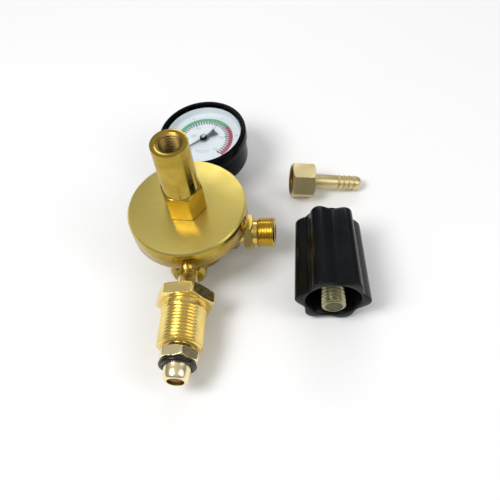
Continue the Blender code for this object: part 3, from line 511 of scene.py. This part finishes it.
def band(inner, outer, start, end, step=3.0):
    """The vertices and faces of a printed arc, clockwise from the start angle in degrees."""
    count = max(2, round(abs(end - start) / step))
    vertices, faces = [], []
    for i in range(count + 1):
        angle = (start + (end - start) * i / count) * DEGREE
        for radius in (inner, outer):
            for height in (DIAL_TOP + 0.01, PRINT_HEIGHT):
                vertices.append((radius * math.cos(angle), radius * math.sin(angle), height))
    for i in range(count):
        a, b = 4 * i, 4 * i + 4
        faces += [(a, b, b + 1, a + 1), (a + 2, a + 3, b + 3, b + 2), (a + 1, b + 1, b + 3, a + 3),
                  (a, a + 2, b + 2, b)]
    last = 4 * count
    faces += [(0, 1, 3, 2), (last, last + 2, last + 3, last + 1)]
    return vertices, faces


def print_bands(name, bands, material):
    """Printed arcs of one ink as one piece."""
    vertices, faces = [], []
    for more_vertices, more_faces in bands:
        faces += [tuple(index + len(vertices) for index in face) for face in more_faces]
        vertices += more_vertices
    finish_piece(name, vertices, faces, material, DIAL, "housing")


def text_mesh(text, size):
    """Small raised print, made from a font's outline."""
    data = bpy.data.curves.new("print", "FONT")
    data.body = text
    data.size = size * MM
    data.align_x = "CENTER"
    data.align_y = "CENTER"
    data.extrude = 0.02 * MM
    data.resolution_u = 2
    letters = bpy.data.objects.new("print", data)
    bpy.context.scene.collection.objects.link(letters)
    bpy.context.view_layer.update()
    mesh = bpy.data.meshes.new_from_object(letters.evaluated_get(bpy.context.evaluated_depsgraph_get()))
    bpy.data.objects.remove(letters)
    return mesh


def print_texts(name, texts, size, material):
    """Raised print at places on the dial, as one piece."""
    shape = bmesh.new()
    for text, place in texts:
        mesh = text_mesh(text, size)
        mesh.transform(turn_matrix((*place, DIAL_TOP + 0.03)))
        shape.from_mesh(mesh)
        bpy.data.meshes.remove(mesh)
    joined = bpy.data.meshes.new(name)
    shape.to_mesh(joined)
    shape.free()
    joined.materials.append(material)
    piece = bpy.data.objects.new(name, joined)
    bpy.context.scene.collection.objects.link(piece)
    piece.matrix_world = DIAL
    bpy.context.view_layer.update()
    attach(piece, "housing")


SCALE_START, SCALE_END = 225.0, -45.0  # degrees about the dial's axis, clockwise from zero
RED_START = 40.0
BAND_INNER, BAND_OUTER = 14.6, 16.9
DIVISIONS, DIVISIONS_PER_NUMBER = 40, 8


def dial():
    """The white dial with a green and a red band, black divisions and grey numbers."""
    rim = 14.7
    rows = [(1.0, DIAL_TOP), (20.6, DIAL_TOP), (21.0, DIAL_TOP + 0.15), (21.2, DIAL_TOP + 0.6),
            (21.3, rim - 0.1), (21.4, rim), (22.1, rim), (22.2, rim - 0.1), (22.2, DIAL_TOP - 0.6),
            (1.0, DIAL_TOP - 0.6)]
    revolve("dial_face", rows, ENAMEL, DIAL, "housing", ("dial_plate",), sides=COARSE,
            loop=True)
    print_bands("dial_green_band", [band(BAND_INNER, BAND_OUTER, SCALE_START, RED_START)], GREEN_INK)
    print_bands("dial_red_band", [band(BAND_INNER, BAND_OUTER, RED_START, SCALE_END)], RED_INK)
    ticks = []
    for i in range(DIVISIONS + 1):
        angle = SCALE_START + (SCALE_END - SCALE_START) * i / DIVISIONS
        inner, half = (12.0, 1.9) if i % DIVISIONS_PER_NUMBER == 0 else (12.5, 1.6)
        ticks.append(band(inner, 14.58, angle + half, angle - half, 1.3))
    print_bands("dial_divisions", ticks, BLACK_INK)
    numbers = []
    for i in range(6):
        angle = (SCALE_START + (SCALE_END - SCALE_START) * i / 5) * DEGREE
        for radius, value in ((10.2, 50 * i), (18.8, 5 * i)):
            numbers.append((str(value), (radius * math.cos(angle), radius * math.sin(angle))))
    print_texts("dial_numbers", numbers, 2.0, GREY_INK)
    print_bands("dial_rules", [band(8.4, 8.75, -62, -118), band(9.6, 9.8, -66, -114)], GREY_INK)


def pointer():
    """The needle with its flared tail, a dark collar and the bright cap over it."""
    outline_right = [(-8.4, 2.6), (-7.2, 2.35), (-5.2, 1.45), (-3.6, 1.05), (-2.4, 1.1), (-1.6, 1.7),
                     (0.0, 2.28), (1.6, 1.7), (2.3, 0.55), (9.0, 0.36), (16.0, 0.16)]
    outline = outline_right + [(16.45, 0.0)] + [(x, -y) for x, y in reversed(outline_right)] + [(-7.9, 0.0)]
    bottom, top = 12.0, 12.5
    vertices = [(x, y, bottom) for x, y in outline] + [(x, y, top - 0.08) for x, y in outline]
    vertices += [(x * 0.995, y * 0.9, top) for x, y in outline]
    count = len(outline)
    faces = [tuple(reversed(range(count))), tuple(range(2 * count, 3 * count))]
    for level in (0, count):
        for i in range(count):
            nxt = (i + 1) % count
            faces.append((level + i, level + nxt, level + count + nxt, level + count + i))
    where = DIAL @ turn_matrix((0, 0, 0), (0, 0, POINTER_REST))
    finish_piece("needle", vertices, faces, POINTER, where, "pointer", ("pointer",))
    rows = [(0, 14.1), (0.6, 14.08), (1.25, 14.02), (1.7, 13.85), (1.95, 13.5), (2.05, 12.85), (0, 12.85)]
    cap = revolve("pointer_cap", rows, STEEL, DIAL, "pointer", ("pointer_boss",), sides=COARSE)
    second_material(cap, BLACK, 1.45, 9.0)


# ---------------------------------------------------------------- the loose pieces


def knob():
    """The six-lobed knob: a tapered moulding, a rolled rim, a deep round recess and a threaded stud."""
    half = KNOB_LENGTH / 2
    sides = 180
    angles = [2 * math.pi * i / sides for i in range(sides)]

    def section(height, inset):
        """The outline at a height, drawn in by an inset."""
        share = (height + half) / KNOB_LENGTH
        radius = KNOB_FAR_RADIUS + (KNOB_RADIUS - KNOB_FAR_RADIUS) * share
        return [(lobed(radius, KNOB_GROOVE, a) - inset, height) for a in angles]

    rounding = [(1.9, 0.0), (1.25, 0.12), (0.65, 0.42), (0.25, 0.9), (0.06, 1.45), (0.0, 2.1)]
    dish = [(r, -half + 0.25) for r in (0.0, 9.0, 12.6)]
    rings = [[point] * sides for point in dish] + [[(13.2, -half + 0.05)] * sides]
    rings += [section(-half + depth, inset) for inset, depth in rounding]
    rings += [section(-half + 2.1 + (KNOB_LENGTH - 3.1) * i / 8, 0.0) for i in range(1, 9)]
    edge = [(0.0, 0.9), (0.05, 0.5), (0.2, 0.2), (0.6, 0.0)]
    rings += [section(half - depth, inset) for inset, depth in edge]
    floor = half - KNOB_RECESS
    bore = [(14.6, half), (14.3, half - 0.1), (14.15, half - 0.4), (13.6, half - 1.2), (12.8, floor + 0.8),
            (12.5, floor + 0.15), (12.0, floor), (6.7, floor), (6.6, floor - 0.2), (6.6, floor - 8),
            (0, floor - 8)]
    rings += [[point] * sides for point in bore]
    vertices, faces = [], []
    for ring in rings:
        vertices += [(r * math.cos(a), r * math.sin(a), z) for (r, z), a in zip(ring, angles)]
    for k in range(len(rings) - 1):
        for i in range(sides):
            nxt = (i + 1) % sides
            faces.append((k * sides + i, k * sides + nxt, (k + 1) * sides + nxt, (k + 1) * sides + i))
    finish_piece("lobed_knob", vertices, faces, KNOB_BLACK, KNOB, "knob",
                 ("adjusting_knob",), sharp=48)

    end = half + STUD_STANDOUT
    rows = [(0, end - 0.5), (3.9, end - 0.4), (4.4, end), (4.8, end), (5.05, end - 0.15), (5.5, end - 0.75)]
    rows.append(thread_rings(end - 0.8, floor + 1.0, STUD_PITCH, 6.0, 5.1, COARSE, fade=0.4))
    rows += [(5.4, floor + 0.8), (5.4, floor - 7.7), (0, floor - 7.7)]
    # The stud wears the zinc darkened as painted shade.
    stud = revolve("threaded_stud", rows, STUD, KNOB, "knob", ("knob_stud",), sides=COARSE)
    second_material(stud, STUD_END, 0.0, 4.5, end - 1.0)


def hose_connector():
    """The union nut and the barbed nipple."""
    corner = NUT_FLATS / math.sqrt(3)
    wall = NUT_LENGTH - 3.0
    rows = [(4.6, NUT_LENGTH), (8.4, NUT_LENGTH), (9.0, NUT_LENGTH - 0.05)]
    rows += chamfer(9.0, corner, NUT_LENGTH - 0.05, NUT_LENGTH - 1.0)
    rows += chamfer(corner, 8.9, 1.0, 0.05)
    rows += [(8.75, 0), (8.5, 0), (8.35, 0.15), (7.7, 0.8)]
    rows.append(thread_rings(0.9, wall - 0.3, OUTLET_PITCH, 7.6, 8.3, FINE, fade=0.5))
    rows += [(7.6, wall), (4.6, wall)]
    revolve("hexagon_union_nut", rows, BRASS_PALE, NUT, "union_nut", ("union_nut",), loop=True,
            hexes=((NUT_FLATS, 0, NUT_LENGTH, 30),), sharp=34, bore=8.3)
    shoulder = wall - 0.3
    end, plain = 40.2, 27.0
    rows = [(2.3, end), (2.9, end), (3.2, end - 0.15), (3.9, end - 1.6)]
    pitch = (end - 1.6 - plain) / 4
    for i in range(4):
        start = end - 1.6 - i * pitch
        rows += [(4.08, start - pitch * 0.45), (4.18, start - pitch * 0.74), (4.15, start - pitch * 0.8),
                 (3.62, start - pitch * 0.9), (3.6, start - pitch * 0.98)]
    rows += [(4.0, plain - 0.4), (4.1, plain - 0.6), (4.1, shoulder), (7.2, shoulder), (7.2, shoulder - 2.4),
             (5.0, shoulder - 4.6), (2.3, shoulder - 4.6)]
    revolve("barbed_nipple", rows, BRASS_PALE, NUT, "hose_nipple", ("hose_nipple",),
            loop=True, sharp=34)


# ---------------------------------------------------------------- floor, light and camera


def floor():
    mesh = bpy.data.meshes.new("floor")
    side = 3.0
    corners = [(-side, -side, 0), (side, -side, 0), (side, side, 0), (-side, side, 0)]
    mesh.from_pydata(corners, [], [(0, 1, 2, 3)])
    ground = bpy.data.objects.new("floor", mesh)
    bpy.context.scene.collection.objects.link(ground)
    ground.location.z = -0.0004
    material, nodes, links, shader = new_material("floor_paper")
    place = nodes.new("ShaderNodeTexCoord").outputs["Object"]
    paper = ramp(nodes, links, noise(nodes, links, place, 4, 2), 0.2, 0.8, 0.93, 0.95)
    links.new(paper, shader.inputs["Base Color"])
    shader.inputs["Roughness"].default_value = 0.9
    shader.inputs["Specular IOR Level"].default_value = 0.0
    mesh.materials.append(material)


def area_light(name, place, target, size, power):
    data = bpy.data.lights.new(name, "AREA")
    data.shape = "RECTANGLE"
    data.size, data.size_y = size
    data.energy = power
    lamp = bpy.data.objects.new(name, data)
    bpy.context.scene.collection.objects.link(lamp)
    lamp.location = place
    lamp.rotation_euler = (Vector(target) - Vector(place)).to_track_quat("-Z", "Y").to_euler()


def lighting():
    """A pale room, darker towards the horizon, with soft boxes to the left, to the right and behind."""
    scene = bpy.context.scene
    scene.view_settings.view_transform = "Standard"
    world = bpy.data.worlds.new("studio")
    scene.world = world
    world.use_nodes = True
    nodes, links = world.node_tree.nodes, world.node_tree.links
    place = nodes.new("ShaderNodeTexCoord").outputs["Generated"]
    parts = nodes.new("ShaderNodeSeparateXYZ")
    links.new(place, parts.inputs[0])
    sky = ramp(nodes, links, parts.outputs[2], 0.0, 0.95, (0.26, 0.27, 0.29), (1.0, 1.0, 1.0))
    links.new(sky, nodes["Background"].inputs["Color"])
    nodes["Background"].inputs["Strength"].default_value = 0.55
    area_light("key", (-0.35, -0.25, 0.75), (0.0, 0.0, 0.03), (0.35, 0.35), 4.2)
    area_light("fill", (0.6, -0.2, 0.45), (0.03, 0.0, 0.03), (0.3, 0.5), 1.3)
    area_light("back", (0.1, 0.7, 0.5), (0.03, 0.0, 0.03), (0.6, 0.25), 1.3)


def camera():
    """The camera's basis from its pitch, yaw and roll."""
    data = bpy.data.cameras.new("camera")
    data.sensor_width = 36.0
    data.lens = 48.19
    data.clip_start = 0.01
    eye = Vector((70.0, -207.5, 310.3)) * MM
    pitch, yaw, roll = 55.686 * DEGREE, -11.152 * DEGREE, -9.609 * DEGREE
    ahead = Vector((math.sin(yaw) * math.cos(pitch), math.cos(yaw) * math.cos(pitch), -math.sin(pitch)))
    right = Vector((math.cos(yaw), -math.sin(yaw), 0))
    up = right.cross(ahead)
    right_turned = math.cos(roll) * right + math.sin(roll) * up
    up_turned = -math.sin(roll) * right + math.cos(roll) * up
    basis = Matrix((right_turned, up_turned, -ahead)).transposed().to_4x4()
    viewer = bpy.data.objects.new("camera", data)
    bpy.context.scene.collection.objects.link(viewer)
    viewer.matrix_world = Matrix.Translation(eye) @ basis
    bpy.context.scene.camera = viewer


camera()
regulator()
inlet()
outlet()
gauge_housing()
dial()
pointer()
knob()
hose_connector()
floor()
lighting()
